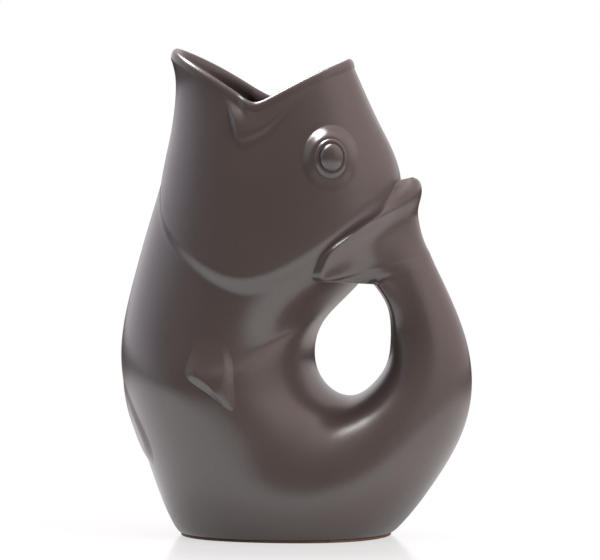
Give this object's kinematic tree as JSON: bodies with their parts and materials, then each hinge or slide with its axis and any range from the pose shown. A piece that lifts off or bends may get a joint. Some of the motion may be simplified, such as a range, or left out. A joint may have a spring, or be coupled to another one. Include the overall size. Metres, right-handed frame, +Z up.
{
  "type": "gurgle jug",
  "caption": "Gurgle jug in glazed stoneware, a fish standing on its belly with open mouth as spout and hollow tail curled into the handle",
  "frame": {"origin": "on the table plane under the foot, midway along the jug's length, in its plane of symmetry", "axes": "+Z up; -X the way the belly and the lower jaw face, +X the way the tail handle bends out; +Y the fish's right side, with the jug symmetric about Y = 0"},
  "size_m": [0.1834, 0.1248, 0.2533],
  "materials": {
    "glaze": "satin dark warm grey-brown glaze",
    "bare_foot": "unglazed fired clay"
  },
  "bodies": {
    "root": {"body": "glaze", "tail_handle": "glaze", "tail_fin": "glaze", "foot_ring": "bare_foot", "eye_mound_left": "glaze", "eye_mound_right": "glaze", "pupil_left": "glaze", "pupil_right": "glaze", "pectoral_fin_left": "glaze", "pectoral_fin_right": "glaze", "pelvic_fin_left": "glaze", "pelvic_fin_right": "glaze"}
  },
  "joints": []
}
